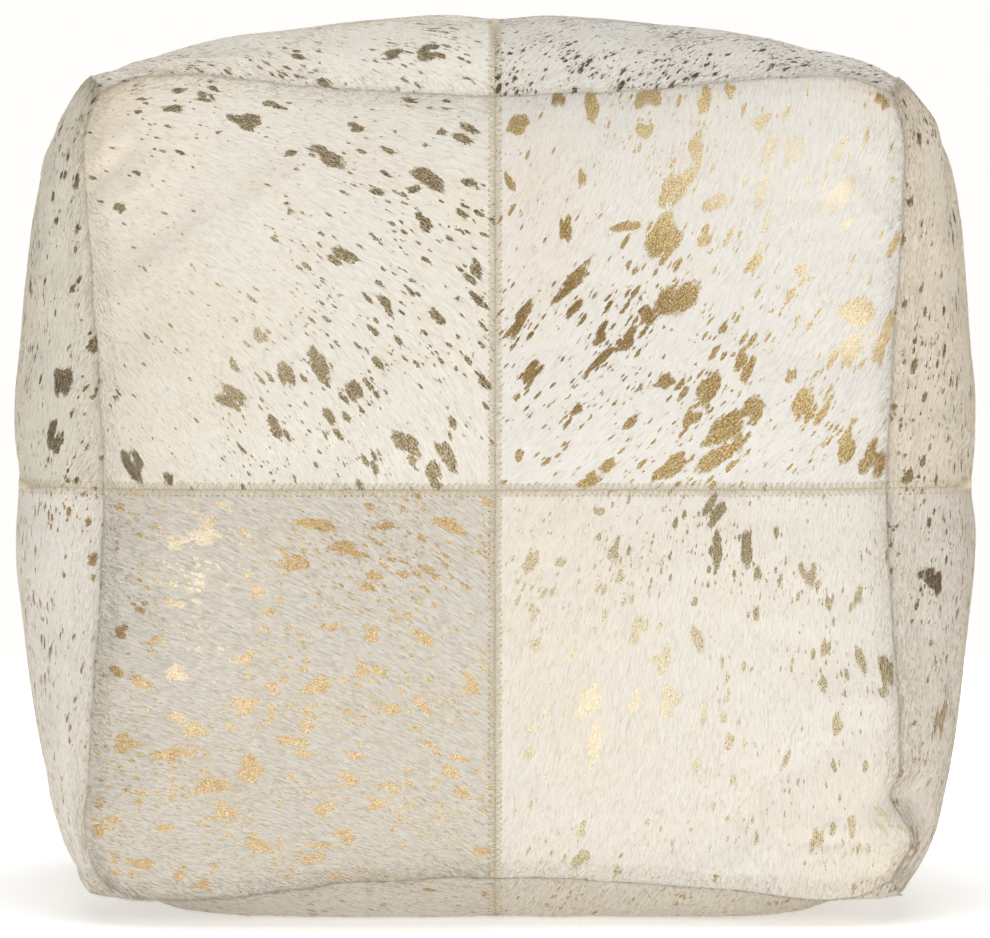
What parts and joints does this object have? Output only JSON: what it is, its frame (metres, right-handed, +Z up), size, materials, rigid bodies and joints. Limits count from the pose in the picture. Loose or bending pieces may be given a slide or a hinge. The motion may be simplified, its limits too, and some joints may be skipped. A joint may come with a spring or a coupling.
{
  "type": "cube pouf",
  "caption": "Cube-shaped stuffed pouf sewn from patches of gold-speckled hair-on hide, with zigzag seams and a zip across the base; a low seat or footrest.",
  "frame": {"origin": "on the floor, under the middle of the pouf", "axes": "+Z up, the front face looks along -Y, +X to the right of someone facing the front, along the zip"},
  "size_m": [0.5086, 0.5026, 0.4653],
  "materials": {
    "hide_cream": "short cream hair with bronze foil speckles",
    "hide_white": "short white hair with bright gold foil blotches",
    "hide_grey": "short grey-cream hair with tan gold foil speckles",
    "hide_ivory": "short ivory hair with pale gold foil speckles",
    "seam_allowance": "raw cut suede edge",
    "cotton": "plain unbleached cotton",
    "thread": "matt polyester thread",
    "beads": "expanded polystyrene",
    "zip_tape": "woven polyester tape",
    "zip_nylon": "satin nylon",
    "zip_metal": "antique satin"
  },
  "bodies": {
    "pouf": {"backing_back": "cotton", "backing_base": "cotton", "backing_front": "cotton", "backing_left": "cotton", "backing_right": "cotton", "backing_top": "cotton", "bead_filling": "beads", "edge_seam_back_left": "seam_allowance", "edge_seam_back_right": "seam_allowance", "edge_seam_base_back": "seam_allowance", "edge_seam_base_front": "seam_allowance", "edge_seam_base_left": "seam_allowance", "edge_seam_base_right": "seam_allowance", "edge_seam_front_left": "seam_allowance", "edge_seam_front_right": "seam_allowance", "edge_seam_top_back": "seam_allowance", "edge_seam_top_front": "seam_allowance", "edge_seam_top_left": "seam_allowance", "edge_seam_top_right": "seam_allowance", "hide_back_lower_left": "hide_grey", "hide_back_lower_right": "hide_ivory", "hide_back_upper_left": "hide_cream", "hide_back_upper_right": "hide_white", "hide_base_front_left": "hide_cream", "hide_base_front_right": "hide_white", "hide_base_rear_left": "hide_grey", "hide_base_rear_right": "hide_ivory", "hide_front_lower_left": "hide_grey", "hide_front_lower_right": "hide_ivory", "hide_front_upper_left": "hide_cream", "hide_front_upper_right": "hide_white", "hide_left_lower_left": "hide_grey", "hide_left_lower_right": "hide_ivory", "hide_left_upper_left": "hide_cream", "hide_left_upper_right": "hide_white", "hide_right_lower_left": "hide_grey", "hide_right_lower_right": "hide_ivory", "hide_right_upper_left": "hide_cream", "hide_right_upper_right": "hide_white", "hide_top_front_left": "hide_cream", "hide_top_front_right": "hide_white", "hide_top_rear_left": "hide_grey", "hide_top_rear_right": "hide_ivory", "inner_bag": "cotton", "stitching_back": "thread", "stitching_base": "thread", "stitching_front": "thread", "stitching_left": "thread", "stitching_right": "thread", "stitching_top": "thread", "zip_coil_front": "zip_nylon", "zip_coil_rear": "zip_nylon", "zip_stops": "zip_metal", "zip_tape_front": "zip_tape", "zip_tape_rear": "zip_tape"},
    "zip_slider": {"zip_slider": "zip_metal"},
    "zip_pull": {"zip_pull_tab": "zip_metal"}
  },
  "joints": [
    {"name": "zip_slide", "type": "slide", "parent": "pouf", "child": "zip_slider", "axis": [-1, 0, 0], "range_m": [0, 0.276]},
    {"name": "zip_pull_swing", "type": "hinge", "parent": "zip_slider", "child": "zip_pull", "pos_m": [0.138, 0, 0.00145], "axis": [0, 1, 0], "range_deg": [0, 150]}
  ]
}
